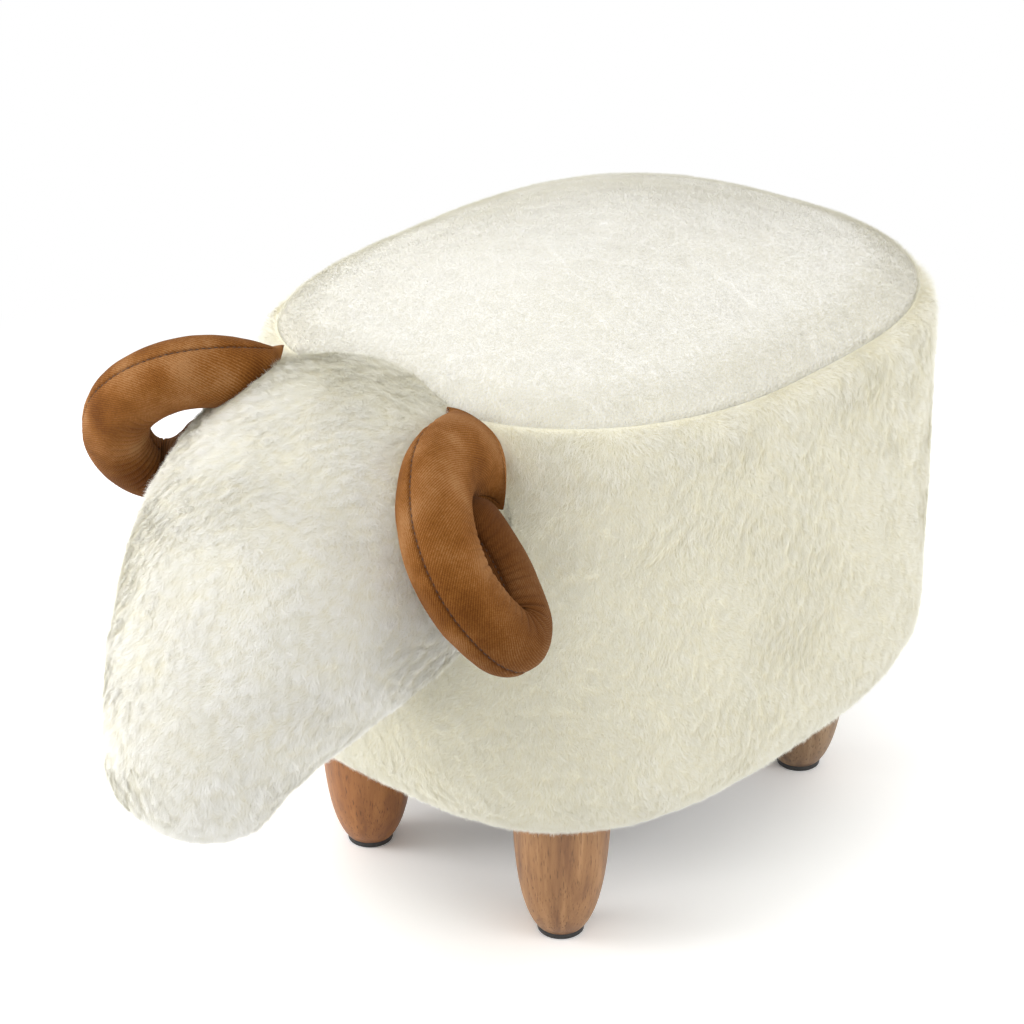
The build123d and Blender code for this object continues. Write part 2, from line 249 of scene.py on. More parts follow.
def add_node(tree, kind, inputs=(), **settings):
    """A shader node with its settings; inputs are pairs of socket and value or linked output."""
    node = tree.nodes.new("ShaderNode" + kind)
    for setting, value in settings.items():
        setattr(node, setting, value)
    for socket, value in inputs:
        if isinstance(value, bpy.types.NodeSocket):
            tree.links.new(value, node.inputs[socket])
        else:
            node.inputs[socket].default_value = value
    return node


def feed(tree, sockets, **outputs):
    """Outputs linked to the sockets of those names."""
    for socket, output in outputs.items():
        tree.links.new(output, sockets[socket.replace("_", " ")])


def bumped(tree, height, strength, depth):
    """A normal bent by a height pattern, whose relief is a depth in metres."""
    return add_node(tree, "Bump", [("Height", height), ("Strength", strength),
                                   ("Distance", depth)]).outputs[0]


def mixed(tree, share, first, second):
    """Two colours mixed by a share."""
    return add_node(tree, "Mix", [(0, share), (6, first), (7, second)], data_type="RGBA").outputs[2]


def share_between(tree, value, low, high, most=1.0):
    """How far a value lies from low to high, from 0 to most."""
    return add_node(tree, "MapRange", [(0, value), (1, low), (2, high), (4, most)]).outputs[0]


def colour_steps(tree, value, *steps):
    """A colour ramp through (position, red, green, blue) steps, driven by a value."""
    ramp = add_node(tree, "ValToRGB", [(0, value)])
    elements = ramp.color_ramp.elements
    while len(elements) < len(steps):
        elements.new(0.5)
    for element, (position, *colour) in zip(elements, steps):
        element.position = position
        element.color = (*colour, 1)
    return ramp.outputs[0]


def new_group(name, inputs, outputs):
    """An empty node group with its named sockets: the group, what it is given and what it puts out."""
    group = bpy.data.node_groups.new(name, "ShaderNodeTree")
    for way, sockets in (("INPUT", inputs), ("OUTPUT", outputs)):
        for socket, kind in sockets.items():
            group.interface.new_socket(socket, in_out=way, socket_type="NodeSocket" + kind)
    return group, group.nodes.new("NodeGroupInput").outputs, group.nodes.new("NodeGroupOutput").inputs


def underfur_group():
    """Dense underfur over the knitted backing, in two tones mixed by a soft noise, with a fine loop
    grain. Both tones are painted darker and warmer than the fibres, as shade at the pile's foot.
    """
    group, given, put = new_group("underfur", {"Deep": "Color", "Pale": "Color"},
                                  {"Colour": "Color", "Normal": "Vector"})
    place = add_node(group, "TexCoord").outputs["Object"]
    cloud = add_node(group, "TexNoise", [("Vector", place), ("Scale", 60.0), ("Detail", 4.0)])
    loops = add_node(group, "TexVoronoi", [("Vector", place), ("Scale", 900.0)])
    noise_share = share_between(group, cloud.outputs[0], 0.3, 0.7)
    feed(group, put, Colour=mixed(group, noise_share, given["Deep"], given["Pale"]),
         Normal=bumped(group, loops.outputs[0], 0.4, 0.0006))
    return group


def backing_material(name, deep, pale):
    """The backing of one piece, its underfur in two tones painted darker than the fibres, as shade."""
    material, tree, shader = new_material(name, 0.9)
    fur = add_node(tree, "Group", [("Deep", (*deep, 1)), ("Pale", (*pale, 1))], node_tree=underfur)
    feed(tree, shader.inputs, Base_Color=fur.outputs["Colour"], Normal=fur.outputs["Normal"])
    return material


underfur = underfur_group()
# painted shade: the side's backing is darker and warmer than the top's and the head's, though it is the
# same fabric
side_backing = backing_material("side_backing", (0.80, 0.76, 0.58), (0.86, 0.84, 0.70))
around = even_angles(side_columns)

base_height, lower_radius = 80, 50.4            # the side rolls in under the base board
lower_height = base_height + lower_radius
rim_radius, rim_height = 34.8, 309.3            # and over the seat foam
flare = 3.2                     # how much wider the body is at its foot than under the rim
lower_arc = np.linspace(0, np.pi / 2, 24)
side_profile = np.concatenate((
    [[58, base_height], [54, base_height]],     # the hem turned in under the base
    np.stack([lower_radius * (1 - np.sin(lower_arc)),
              lower_height - lower_radius * np.cos(lower_arc)], axis=1),
    [[0, rim_height]]))
upright = (rim_height - side_profile[:, 1]) / (rim_height - lower_height)
side_profile[:, 0] -= flare * np.clip(upright, 0, 1)
side_profile = evenly(side_profile, 120)
rear_share = eased((ring(0, around)[1] + 95) / 150)     # 0 at the front, 1 behind
seam_angle = np.radians(43 - 11 * rear_share)   # how far up the rim's arc the seam runs
seam_depth, seam_half_width = 1.4 + 2.0 * rear_share, 3.4


def arc_ring(angle, step, lift):
    """A ring on the rim's arc, a step from the seam: the arc lifted a little, and drawn in at the
    seam by depth * exp(-(step / half width)^2)."""
    radius = rim_radius + lift - seam_depth * np.exp(-(step / seam_half_width) ** 2)
    x, y = ring(rim_radius - radius * np.cos(angle), around)
    return np.stack([x, y, rim_height + radius * np.sin(angle)], axis=1)


def rim_band(steps, lift):
    """Rings on the rim's arc at some millimetres above the seam, lifted over the foam."""
    return np.stack([arc_ring(seam_angle + step / rim_radius, step, lift) for step in steps])


def band(profile):
    """A grid of the body's rings, one for each (inset, height) of the profile."""
    return np.stack([np.stack([*ring(inset, around), np.full(side_columns, height)], axis=1)
                     for inset, height in profile])


def rim_rings_below():
    """Rings from the end of the upright side up the rim's arc to the seam."""
    angles = [seam_angle * share for share in np.linspace(0.05, 1, 26)]
    return np.stack([arc_ring(angle, (seam_angle - angle) * rim_radius, 0) for angle in angles])


def loosened(grid, depth, size, seed, fade):
    """The skin moved along its normals by soft random swells, less where fade is near 0."""
    return grid + normals_of(grid) * (drift(grid, size, seed) * depth * fade)[..., None]


side_grid = np.concatenate((band(side_profile), rim_rings_below()))
free = (np.clip((side_grid[..., 2] - base_height) / 40, 0, 1)     # not at the hem or the seam
        * np.clip((334 - side_grid[..., 2]) / 30, 0, 1))
for depth, size, seed in ((1.0, 75.0, 11), (0.5, 21.0, 12)):
    side_grid = loosened(side_grid, depth, size, seed, free)
side_grid = side_grid + normals_of(side_grid) * underfur_depth
side_inner = side_grid - normals_of(side_grid) * cover_thickness
body_side = grid_piece("body_side", np.concatenate((side_grid, side_inner[::-1])), side_backing,
                       ring_shut=True)
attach(body_side, "root")
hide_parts("side_cover", "side_foam")

# ---------------------------------------------------------------------------------------------
# Top cover: an oval panel of the same fabric, crowned over the seat foam and drawn down into the
# seam all round. Its edge is tucked under the side cover's.
# ---------------------------------------------------------------------------------------------
crown_edge = 36.7               # inset of the ring from which the crown's shares are measured
crown_half = 140                # shares are this many millimetres long when the run is spaced
crown_knots = np.array([(0, 375), (0.2, 374.2), (0.414, 370.6), (0.664, 362.2), (0.831, 355.3),
                        (1, 348.8)]) * (crown_half, 1)
crown_chords = np.sqrt(np.linalg.norm(np.diff(crown_knots, axis=0), axis=1))
crown_at = np.concatenate(([0], np.cumsum(crown_chords)))
crown = cubic_run(crown_knots, crown_at, np.linspace(0, crown_at[-1], 360))
crown = evenly(crown, 80) / (crown_half, 1)     # share and height of each ring
top_lift = 1.0                  # its pile is shorter, so its backing lies higher


def crown_ring(share, height):
    """A ring of the crown: the edge ring drawn towards the body's middle by a share."""
    x, y = ring(crown_edge, around)
    return np.stack([x * share, (y - body_y) * share + body_y, np.full(side_columns, height)], axis=1)


top_grid = np.stack([crown_ring(s, z) for s, z in crown[1:]])
rim_grid = rim_band(np.linspace(18, 0, 22), top_lift)
bridge = [top_grid[-1] + (rim_grid[0] - top_grid[-1]) * s for s in (0.25, 0.5, 0.75)]
top_grid = np.concatenate((top_grid, np.stack(bridge), rim_grid))
for n in range(6):              # eases the crown's edge into the rim
    top_grid[60:-14] = (top_grid[59:-15] + top_grid[60:-14] * 2 + top_grid[61:-13]) / 4
top_inner = top_grid - np.array([0, 0, cover_thickness])
top_backing = backing_material("top_backing", (0.885, 0.875, 0.84), (0.92, 0.915, 0.89))
top_panel = grid_piece("top_panel", np.concatenate((top_grid, top_inner[::-1])), top_backing)
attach(top_panel, "root")
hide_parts("top_cover", "seat_foam")

# ---------------------------------------------------------------------------------------------
# Head cover: a big drooping wedge of the same fabric over fibre fill, sewn to the front of the
# body. It has no face: a top piece, two cheeks and a chin gusset, sewn from the inside.
# ---------------------------------------------------------------------------------------------
head_columns, head_rows = 260, 150
head_power = 2.3
pile_depth = 2.2                # from the backing to the pile's tips
# along the head: y, height, half width, half depth, lean and shift aside of each section, over
# the pile. Its base is sewn on a little towards the right.
head_sections = np.array([
    (-60.0, 281.0, 82.0, 60.0, 0.00, -7.5), (-85.0, 280.5, 92.5, 65.0, -0.02, -8.5),
    (-112.1, 278.3, 103.8, 67.0, -0.059, -8.0), (-150.9, 262.3, 103.3, 65.1, -0.41, -2.0),
    (-181.8, 243.9, 91.0, 67.3, -0.61, 0.0), (-213.3, 212.1, 72.0, 59.8, -0.843, 0.0),
    (-243.7, 181.7, 53.8, 46.5, -0.967, 0.0), (-260.7, 148.8, 29.3, 22.2, -1.145, 0.0),
    (-263.7, 143.0, 0.0, 0.0, -1.16, 0.0)])


def head_surface(sections, rows, columns):
    """The head over its pile: superelliptic sections across a bent line. The squares of the half
    sizes run smoothly to zero at the nose, so that it is round, and the rows crowd towards it."""
    line = sections.copy()
    line[:, 2:4] **= 2
    at = distance_along(sections[:, :2])
    marks = at[-1] * (1 - (1 - np.linspace(0, 0.97, rows)) ** 2)
    run = cubic_run(line, at, marks)
    half = np.sqrt(np.maximum(run[:, 2:4], 0.01))
    turned = np.linspace(0, 2 * np.pi, columns, endpoint=False)
    across, above = [signed_power(part, 2 / head_power) for part in (np.cos(turned), np.sin(turned))]
    lean = run[:, 4]
    x = half[:, :1] * across + run[:, 5:6]
    y = run[:, :1] + half[:, 1:] * above * np.sin(lean)[:, None]
    z = run[:, 1:2] + half[:, 1:] * above * np.cos(lean)[:, None]
    return np.stack([x, y, z], axis=2), run, half


head_over, head_line, head_half = head_surface(head_sections, head_rows, head_columns)
head_lumps = sum(depth * drift(head_over, size, seed)
                 for depth, size, seed in ((1.8, 62.0, 31), (0.8, 26.0, 32), (0.35, 13.0, 33)))
head_grid = head_over + normals_of(head_over) * (head_lumps - pile_depth)[..., None]
head_backing = backing_material("head_backing", (0.85, 0.81, 0.65), (0.91, 0.89, 0.80))
head_skin = grid_piece("head_skin", head_grid, head_backing)
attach(head_skin, "root")
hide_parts("head_cover", "head_fill")

# ---------------------------------------------------------------------------------------------
# Horns: two fat tubes of brown short-nap cloth, stuffed, curled into a flat C and sewn to the
# head by the root. A seam runs along the outer edge, and the cloth is gathered inside the bends.
# ---------------------------------------------------------------------------------------------
horn_rows, horn_columns = 320, 104
horn_straight = 38.0            # length of line before the first bend
horn_girth = 18.4
horn_girth_shares = (0.92, 0.94, 0.97, 1, 1.02, 1.03, 1.04, 1.04, 1.03, 1.02, 1, 0.97, 0.94, 0.91,
                     0.88, 0.86, 0.84)          # from root to tip, at even steps
horn_facts = {
    # root of the line, its heading backwards, the way across the curl, radius and angle of each
    # bend, the two corners of the root's closing seam, how far along the line that seam is, and
    # how far the stuffed root swells past it
    "left": ((72.0, -110.7, 322.0), (-0.025, 0.917, -0.397), (0.767, 0.272, 0.581),
             ((52.2, 149.0), (12.8, 113.0), (68.0, 56.0)),
             (44.6, -98.1, 338.7), (99.5, -118.5, 305.0), 34.0, 9.0),
    "right": ((-71.0, -123.7, 331.0), (0.466, 0.777, -0.423), (0.605, -0.629, -0.489),
              ((50.0, 155.0), (17.5, 97.0), (60.0, 35.0)),
              (-74.0, -95.2, 340.0), (-97.0, -129.0, 302.6), 28.0, 2.5)}
root_way = np.array([0.27, 0.93, -0.24])        # the swell lies on the head, towards the body
tip_round = 13.0
seam_turn = math.radians(150)   # where the inner seam lies on the returning limb
stitch_step, crease_step = 3.4, 4.9


def summed(values, step):
    """The running area under a curve that is given at even steps."""
    return np.concatenate(([0], np.cumsum((values[1:] + values[:-1]) / 2 * step)))


def horn_line(root, out_way, face_way, bends):
    """The tube's centre line: a straight root, then arcs in the plane across face_way. The
    heading is the sum of the curvature along the line, smoothed over a few millimetres."""
    out_way, face_way = unit(np.array(out_way)), unit(np.array(face_way))
    side_way = np.cross(face_way, out_way)
    spans = [horn_straight] + [r * math.radians(a) for r, a in bends]
    at = np.linspace(0, sum(spans), 600)
    bend_curves = [1 / radius for radius, _ in bends]
    curve = np.select([at < end for end in np.cumsum(spans)], [0] + bend_curves, bend_curves[-1])
    window = np.hanning(35)[1:-1]
    curve = np.convolve(np.pad(curve, 16, mode="edge"), window / window.sum(), mode="valid")
    step = at[1] - at[0]
    heading = math.pi + summed(curve, step)
    along, over = np.cos(heading), np.sin(heading)
    x, y = horn_straight + summed(along, step), summed(over, step)
    line = np.array(root) + x[:, None] * out_way + y[:, None] * side_way
    inward = -over[:, None] * out_way + along[:, None] * side_way        # towards the curl's middle
    return line, inward, face_way, curve, at


def seam_places(run):
    """Where the outer and the inner seam lie round the tube, for each distance past the root."""
    return 0 * run, math.pi + (seam_turn - math.pi) * eased((run - 148) / 22)


def gap_round(turned, seam):
    """How far round the tube its columns lie from a seam, in each row."""
    return np.abs((turned - seam[:, None] + np.pi) % (2 * np.pi) - np.pi)


def horn_surface(facts, seed):
    """A stuffed tube round the line. Its root is sewn flat between two corners: there it is wide
    and thin like a pillow's end, and it swells past the seam as a circle's arc. The radius tapers
    to the tip and closes as a dome. Each seam draws the tube in by depth * exp(-(gap / width)^2),
    and inside the bends the cloth is gathered into creases across the tube. Painted shade darkens
    the seams and the creases, and the returning limb is painted darker too, as shade."""
    root, out_way, face_way, bends, top, bottom, start, root_bulge = facts
    line, inward, face, curve, at = horn_line(root, out_way, face_way, bends)
    run = np.linspace(-root_bulge, at[-1] - start, horn_rows)
    where = np.clip(run, 0, None) + start
    line, inward = [along_run(where, at, field) for field in (line, inward)]
    curve = np.interp(where, at, curve)
    top, bottom = np.array(top), np.array(bottom)
    half = np.linalg.norm(top - bottom) / 2
    past = np.clip(-run, 0, None)
    share = eased(run / 42)[:, None]
    line = (top + bottom) / 2 * (1 - share) + line * share + unit(root_way) * past[:, None]
    out = unit(unit(top - bottom) * (1 - share) - inward * share)
    face = unit(face - out * (out @ face)[:, None])

    steps = np.linspace(0, at[-1], len(horn_girth_shares))
    radius = horn_girth * np.interp(where, steps, horn_girth_shares)
    end = np.clip((at[-1] - where) / tip_round, 0, 1)
    radius *= np.sqrt(np.maximum(1 - (1 - end) ** 2, 0.002))
    arc = (half ** 2 + root_bulge ** 2) / (2 * root_bulge)
    swell = np.sqrt(np.maximum(arc ** 2 - (arc - root_bulge + past) ** 2, 0.01))
    outer, inner = [np.where(run < 0, swell,
                             radius + (half - radius) * np.clip(1 - run / fade, 0, 1) ** 1.6)
                    for fade in (62, 34)]             # the root narrows to the tube over these
    thin = radius * np.where(run < 0, 0.85 * np.sqrt(np.maximum(1 - (run / root_bulge) ** 2, 0.0004)),
                             0.85 + 0.15 * eased(run / 30))

    even = np.arange(horn_columns) / horn_columns * 2 * np.pi
    turned = even - 0.33 * np.sin(2 * even)           # the columns crowd towards the seams
    cos, sin = np.cos(turned), np.sin(turned)
    away = np.where(cos > 0, outer[:, None], inner[:, None]) * cos
    side = thin[:, None] * sin * np.abs(sin) ** (0.8 * (1 - eased(run / 30)))[:, None]
    room = np.where(run < 20, 1e3, 0.9 / np.maximum(curve, 1e-4))[:, None]     # inside a bend
    tight = -room * (1 - 0.25 * np.exp((away + room * 0.75) / (0.25 * room)))
    away = np.where(away < -room * 0.75, tight, away)
    grid = line[:, None] + out[:, None] * away[..., None] + face[:, None] * side[..., None]

    normal = normals_of(grid)
    firm = (eased(run / 12) * eased((run[-1] - run) / 14))[:, None]
    sunk = narrow = 0
    for seam in seam_places(run):
        gap = gap_round(turned, seam)
        pucker = 1 + 0.35 * np.sin(run * 2 * np.pi / stitch_step)[:, None]
        line_share = np.exp(-(gap / 0.055) ** 2)
        sunk = sunk + 0.75 * line_share + 0.55 * pucker * np.exp(-(gap / 0.22) ** 2)
        narrow = narrow + line_share
    seed_line = np.stack([run, 0 * run, 0 * run + seed], axis=1)
    crease = 1 - np.abs(np.sin(run * np.pi / crease_step + 1.3 * drift(seed_line, 8.0, seed)))
    bent = np.clip((curve - 0.010) / 0.016, 0, 1) * eased((run - 60) / 20)
    gather = (crease ** 2 * bent)[:, None] * np.clip(0.25 - np.cos(turned), 0, 1) ** 0.7
    swells = 0.45 * drift(grid, 17.0, seed + 5) + 0.15 * drift(grid, 6.0, seed + 6)
    grid = grid + normal * (firm * (swells - sunk - 1.3 * gather))[..., None]
    # painted shade: the cloth is darkened in the seams and creases, and more and more along the
    # returning limb
    shade = np.clip(firm * (0.7 * narrow + 0.9 * gather) + 0.75 * eased((run - 95) / 75)[:, None], 0, 1)
    cloth = np.stack([turned * horn_girth + 0 * run[:, None], run[:, None] + 0 * turned, shade], axis=2)
    return grid, normal, cloth, run, turned


def put_cloth(piece, cloth):
    """The cloth's own coordinates as a point attribute: millimetres round and along the tube, and
    how much painted shade a point gets, in the seams, the creases and on the returning limb."""
    ends = np.concatenate((cloth.reshape(-1, 3), cloth[[0, -1]].mean(axis=1)))
    layer = piece.data.attributes.new("cloth", "FLOAT_VECTOR", "POINT")
    layer.data.foreach_set("vector", ends.astype(np.float32).ravel())


def stitch_piece(name, places, ways, ups, length, thick, material):
    """Stitches as one mesh: each is a small pod along the seam, of radius thick * sqrt(1 - x^2)
    and closed at both ends, bedded in the cloth."""
    x = np.array([-0.85, -0.4, 0.4, 0.85])
    turned = np.arange(6) * np.pi / 3
    radius = thick * np.sqrt(1 - x ** 2)[:, None]
    ring_points = np.stack([x[:, None] * length / 2 + 0 * turned, radius * np.cos(turned),
                            radius * np.sin(turned) * 0.8], axis=2).reshape(-1, 3)
    shape = np.concatenate((ring_points, [[-length / 2, 0, 0], [length / 2, 0, 0]]))
    axes = np.stack([ways, np.cross(ups, ways), ups], axis=1)
    points = places[:, None] + np.einsum("pk,nkc->npc", shape, axes)
    r, c = [v.ravel() for v in np.meshgrid(np.arange(3), np.arange(6), indexing="ij")]
    c2 = (c + 1) % 6
    quads = np.stack([r * 6 + 6 + c, r * 6 + 6 + c2, r * 6 + c2, r * 6 + c], axis=1)
    c = np.arange(6)
    caps = np.concatenate((np.stack([c, (c + 1) % 6, 0 * c + 24], 1),
                           np.stack([18 + (c + 1) % 6, 18 + c, 0 * c + 25], 1)))
    base = np.arange(len(places))[:, None, None] * len(shape)
    quads, caps = (quads + base).reshape(-1, 4), (caps + base).reshape(-1, 3)
    shift = np.zeros((len(places), 1, 1, 2))
    shift[:, 0, 0, 0] = (np.arange(len(places)) + 0.5) / len(places)
    square = np.array([[0.1, 0.1], [0.1, 0.9], [0.9, 0.9], [0.9, 0.1]]) / (len(places), 1)
    quad_uv, cap_uv = [np.tile(uv, (len(places), count, 1, 1)) + shift
                       for uv, count in ((square, 18), (square[:3], 12))]
    piece = make_piece(name, points.reshape(-1, 3), quads, caps, quad_uv, cap_uv, material)
    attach(piece, "root")
    return piece


def seam_stitches(grid, normal, run, turned, seam, low, high, step):
    """Places, headings and normals of stitches set evenly along a seam of the tube."""
    rows, column = np.arange(len(run)), gap_round(turned, seam).argmin(axis=1)
    path, up = grid[rows, column], normal[rows, column]
    length = distance_along(path)
    marks = np.arange(np.interp(low, run, length), np.interp(high, run, length), step)
    place, up = along_run(marks, length, path), along_run(marks, length, up)
    way = unit(np.gradient(place, axis=0))
    return place, way, unit(up - way * (up * way).sum(axis=1, keepdims=True))


def horn_cloth():
    """Brown cloth with a fine slanting rib and a short brushed nap, paler and worn along the ribs.
    The cloth attribute darkens it as painted shade in the seams and creases and on the returning limb."""
    material, tree, shader = new_material("brown_nap", 0.85, Sheen_Weight=0.12, Sheen_Roughness=0.45,
                                          Sheen_Tint=(0.80, 0.50, 0.30, 1), Specular_IOR_Level=0.10)

    def ribs(over, along):
        """A number that grows by 2 pi for each rib, across ribs of some millimetres' width."""
        ways = (2 * math.pi / over, 2 * math.pi / along, 0)
        across = add_node(tree, "VectorMath", [(0, cloth), (1, ways)], operation="DOT_PRODUCT")
        return across.outputs["Value"]

    def times_plus(value, factor, more):
        """A value times a factor, plus another value."""
        return add_node(tree, "Math", [(0, value), (1, factor), (2, more)],
                        operation="MULTIPLY_ADD").outputs[0]

    cloth = add_node(tree, "Attribute", attribute_name="cloth").outputs["Vector"]
    deep = add_node(tree, "SeparateXYZ", [(0, cloth)]).outputs["Z"]
    place = add_node(tree, "TexCoord").outputs["Object"]
    wobble, nap, cloud = [
        add_node(tree, "TexNoise", [("Vector", place), ("Scale", scale), ("Detail", detail),
                                    ("Roughness", rough)]).outputs[0]
        for scale, detail, rough in ((120.0, 2.0, 0.5), (950.0, 3.0, 0.7), (34.0, 3.0, 0.5))]
    rib, knit = [add_node(tree, "Math", [(0, value)], operation="SINE").outputs[0]
                 for value in (times_plus(wobble, 4.0, ribs(1.5, 1.5)), ribs(1.1, -1.1))]
    weave = times_plus(knit, 0.35, rib)
    fleck = times_plus(nap, 0.5, times_plus(weave, 0.085, cloud))
    colour = colour_steps(tree, fleck, (0.50, 0.120, 0.037, 0.004), (0.76, 0.225, 0.082, 0.014),
                          (1.02, 0.35, 0.170, 0.065))
    # painted shade: the cloth mixed towards a dark brown in the seams and creases and on the returning
    # limb
    painted_shade = add_node(tree, "Math", [(0, deep), (1, 0.75)], operation="MULTIPLY").outputs[0]
    feed(tree, shader.inputs, Base_Color=mixed(tree, painted_shade, colour, (0.050, 0.013, 0.002, 1)),
         Normal=bumped(tree, times_plus(weave, 0.5, nap), 0.55, 0.0004))
    return material


def thread_material():
    """Dark brown sewing thread, twisted: fine slanting bands of two tones."""
    material, tree, shader = new_material("dark_thread", 0.6)
    place = add_node(tree, "TexCoord").outputs["Object"]
    twist = add_node(tree, "TexWave", [("Vector", place), ("Scale", 900.0),
                                       ("Distortion", 2.0)]).outputs[0]
    feed(tree, shader.inputs, Normal=bumped(tree, twist, 0.4, 0.0001),
         Base_Color=colour_steps(tree, twist, (0.2, 0.022, 0.009, 0.005), (0.8, 0.075, 0.033, 0.016)))
    return material


horn_material, thread = horn_cloth(), thread_material()
horn_lines = []
for side, facts in horn_facts.items():
    horn_grid, horn_normal, cloth, run, turned = horn_surface(facts, seed=40 if side == "left" else 60)
    horn = grid_piece(f"horn_{side}_cloth", horn_grid, horn_material)
    put_cloth(horn, cloth)
    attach(horn, "root")
    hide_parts(f"horn_{side}_cover", f"horn_{side}_fill")
    for seam_name, seam, low in zip(("outer", "inner"), seam_places(run), (3, 30)):
        sewn = seam_stitches(horn_grid, horn_normal, run, turned, seam, low, run[-1] - 14, stitch_step)
        stitches = stitch_piece(f"horn_{side}_{seam_name}_stitches", *sewn, 2.3, 0.34, thread)
    rows = horn_grid[::6]
    middle = rows.mean(axis=1)
    girth = np.linalg.norm(rows - middle[:, None], axis=2).min(axis=1)
    horn_lines.append(np.column_stack((middle, np.minimum(girth + 1.0, horn_girth))))

# ---------------------------------------------------------------------------------------------
# Pile: fine acrylic fibres, woven into the backing and brushed. They lie over in soft locks that
# swirl a little, long on the sides and the head, shorter and smoother on the top panel.
# ---------------------------------------------------------------------------------------------
fibre_half_width = 0.11
big_lock, small_lock = 17.0, 4.4
lock_shape = np.array([1.0, 0.7, 0.55])         # small locks are longer down the piece
stray = 0.55                    # how far single fibres turn out of their lock, in radians
standing_share = 0.10           # the fibres that stand up
shorn_half = 164.4              # the pile is shorn at this half width of the body
pressed_share = 0.45            # what a horn leaves of the pile's length under it
body_top = 345


def nearest_lock(points, size, seed):
    """The nearest of a cloud of lock centres, one at a random place in each cell of a cubic
    lattice of that size, and a random number from 0 to 1 that belongs to it."""
    table = np.random.default_rng(seed).random((24, 24, 24, 4))
    home = np.floor(points / size).astype(int)
    best = np.full(len(points), np.inf)
    centre, own = np.zeros_like(points), np.zeros(len(points))
    for step in np.ndindex(3, 3, 3):
        cell = home + np.array(step) - 1
        pick = table[tuple((cell % 24).T)]
        place = (cell + pick[:, :3]) * size
        gap = ((points - place) ** 2).sum(axis=1)
        near = gap < best
        best[near], centre[near], own[near] = gap[near], place[near], pick[near, 3]
    return centre, own, np.sqrt(best)


def scatter(grid, count, seed):
    """Random places on a grid, evenly by area: position, unit normal, and unit slope along the
    grid's rows, each blended from the corners of the quad that the place falls in."""
    rng = np.random.default_rng(seed)
    normal, along = normals_of(grid), np.gradient(grid, axis=0)
    nxt = np.roll(grid, -1, axis=1)
    area = np.linalg.norm(np.cross(nxt[:-1] - grid[:-1], grid[1:] - grid[:-1]), axis=2).ravel()
    total = np.cumsum(area)
    pick = np.searchsorted(total, (np.arange(count) + rng.random(count)) / count * total[-1])
    pick = rng.permutation(np.minimum(pick, len(area) - 1))
    r, c = np.divmod(pick, grid.shape[1])
    c2 = (c + 1) % grid.shape[1]
    s, t = rng.random((2, count, 1))

    def blend(field):
        return ((1 - s) * ((1 - t) * field[r, c] + t * field[r, c2])
                + s * ((1 - t) * field[r + 1, c] + t * field[r + 1, c2]))

    return blend(grid), unit(blend(normal)), unit(blend(along))


def grow(place, normal, comb, length, lift, swirl, tuft, seed):
    """The fibres' points: root pair and tip. A fibre leans over along the comb, turned by soft
    swirls and by its lock, and its tip is drawn to the lock's middle, more where tuft is near 1.
    Fibres between the locks lie lower, and their tone is painted darker and warmer as shade
    between the locks. One in ten stands up more."""
    rng = np.random.default_rng(seed)
    big, big_own, _ = nearest_lock(place, big_lock, seed + 1)
    small, small_own, small_gap = nearest_lock(place * lock_shape, small_lock, seed + 2)
    small = small / lock_shape
    angle = (swirl * (1.3 * drift(place, 60.0, 71) + 1.3 * drift(place, 22.0, 72)
                      + 0.8 * (big_own - 0.5) + 0.4 * (small_own - 0.5))
             + stray * rng.standard_normal(len(place)))
    comb = unit(comb - normal * (comb * normal).sum(axis=1, keepdims=True))
    across = np.cross(normal, comb)
    way = comb * np.cos(angle)[:, None] + across * np.sin(angle)[:, None]
    edge = tuft * np.clip(small_gap / 3.0, 0, 1) ** 2
    soft = drift(place, 13.0, seed + 4) + 0.6 * drift(place, 31.0, seed + 5)
    standing = rng.random(len(place)) < standing_share
    reach = (length * rng.uniform(0.7, 1.1, len(place)) * np.where(standing, 0.6, 1))[:, None]
    fullness = 1 + 0.16 * soft + 0.20 * (big_own - 0.5) + 0.30 * tuft * (small_own - 0.5)
    rise = (lift * fullness * (1 - 0.40 * edge)
            * rng.uniform(0.78, 1.15, len(place)) * np.where(standing, 1.5, 1))[:, None]
    to_small, to_big = small - place, big - place
    pull = 0.45 * tuft * to_small + 0.06 * to_big
    pull -= normal * (pull * normal).sum(axis=1, keepdims=True)
    tip = place + normal * rise + way * reach + pull
    spin = rng.uniform(-0.15, 0.15, len(place))[:, None]
    beside = unit(np.cross(tip - place, normal)) * np.cos(spin) + normal * np.sin(spin)
    beside = beside * fibre_half_width
    points = np.stack([place - beside, place + beside, tip], axis=1)
    # tone: random by place and lock, less the painted shade between the locks (edge)
    tone = (0.12 * drift(place, 45.0, 73) + 0.12 * soft + 0.10 * (big_own - 0.5)
            + 0.16 * tuft * (small_own - 0.5) - 0.45 * edge + 0.06 * rng.standard_normal(len(place)))
    return points, tone


no_quads, no_quad_uv = np.zeros((0, 4), int), np.zeros((0, 4, 2))


def pile_piece(name, points, tone, material):
    """Fibres as one mesh: each is a slim triangle from root to tip. Its UV map says how white the
    fibre's tone is, painted shade and light included, and how far along it a point lies."""
    triangles = np.arange(len(points))[:, None] * 3 + [0, 1, 2]
    u = tone[:, None]
    uv = np.stack([u + [-0.004, 0.004, 0], u * 0 + [0.02, 0.02, 0.98]], axis=2)
    piece = make_piece(name, points.reshape(-1, 3), no_quads, triangles, no_quad_uv, uv, material)
    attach(piece, "root")
    return piece


